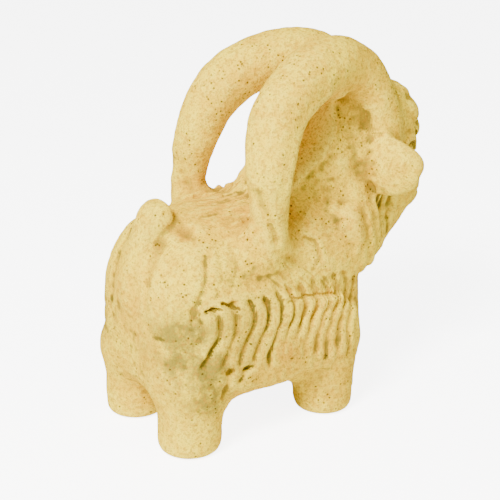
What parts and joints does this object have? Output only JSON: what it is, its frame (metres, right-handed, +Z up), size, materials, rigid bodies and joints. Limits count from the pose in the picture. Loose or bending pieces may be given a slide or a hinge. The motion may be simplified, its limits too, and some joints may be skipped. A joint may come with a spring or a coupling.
{
  "type": "clay ram figure",
  "caption": "Free-standing clay ram with thick horns arching back from the brow to the shoulders, combed wool on the flanks, stub legs and an upright tail.",
  "frame": {"origin": "floor point under the middle of the ram's overall length and width; the feet stand on Z = 0", "axes": "+X is the way the ram faces, +Y its left, +Z up"},
  "size_m": [0.2316, 0.1222, 0.2495],
  "materials": {
    "ochre_clay": "matte",
    "stained_clay": "matte",
    "eye_clay": "matte"
  },
  "bodies": {
    "root": {"body": "ochre_clay", "neck": "ochre_clay", "head": "ochre_clay", "muzzle": "ochre_clay", "tail": "ochre_clay", "forelock": "ochre_clay", "beard": "ochre_clay", "front_right_leg": "ochre_clay", "front_left_leg": "ochre_clay", "hind_right_leg": "ochre_clay", "hind_left_leg": "ochre_clay", "right_horn": "ochre_clay", "left_horn": "ochre_clay", "right_ear": "ochre_clay", "left_ear": "ochre_clay", "right_eye": "eye_clay", "left_eye": "eye_clay", "right_cheek_curl": "stained_clay", "left_cheek_curl": "stained_clay", "right_flank_wool": "stained_clay", "left_flank_wool": "stained_clay"}
  },
  "joints": []
}
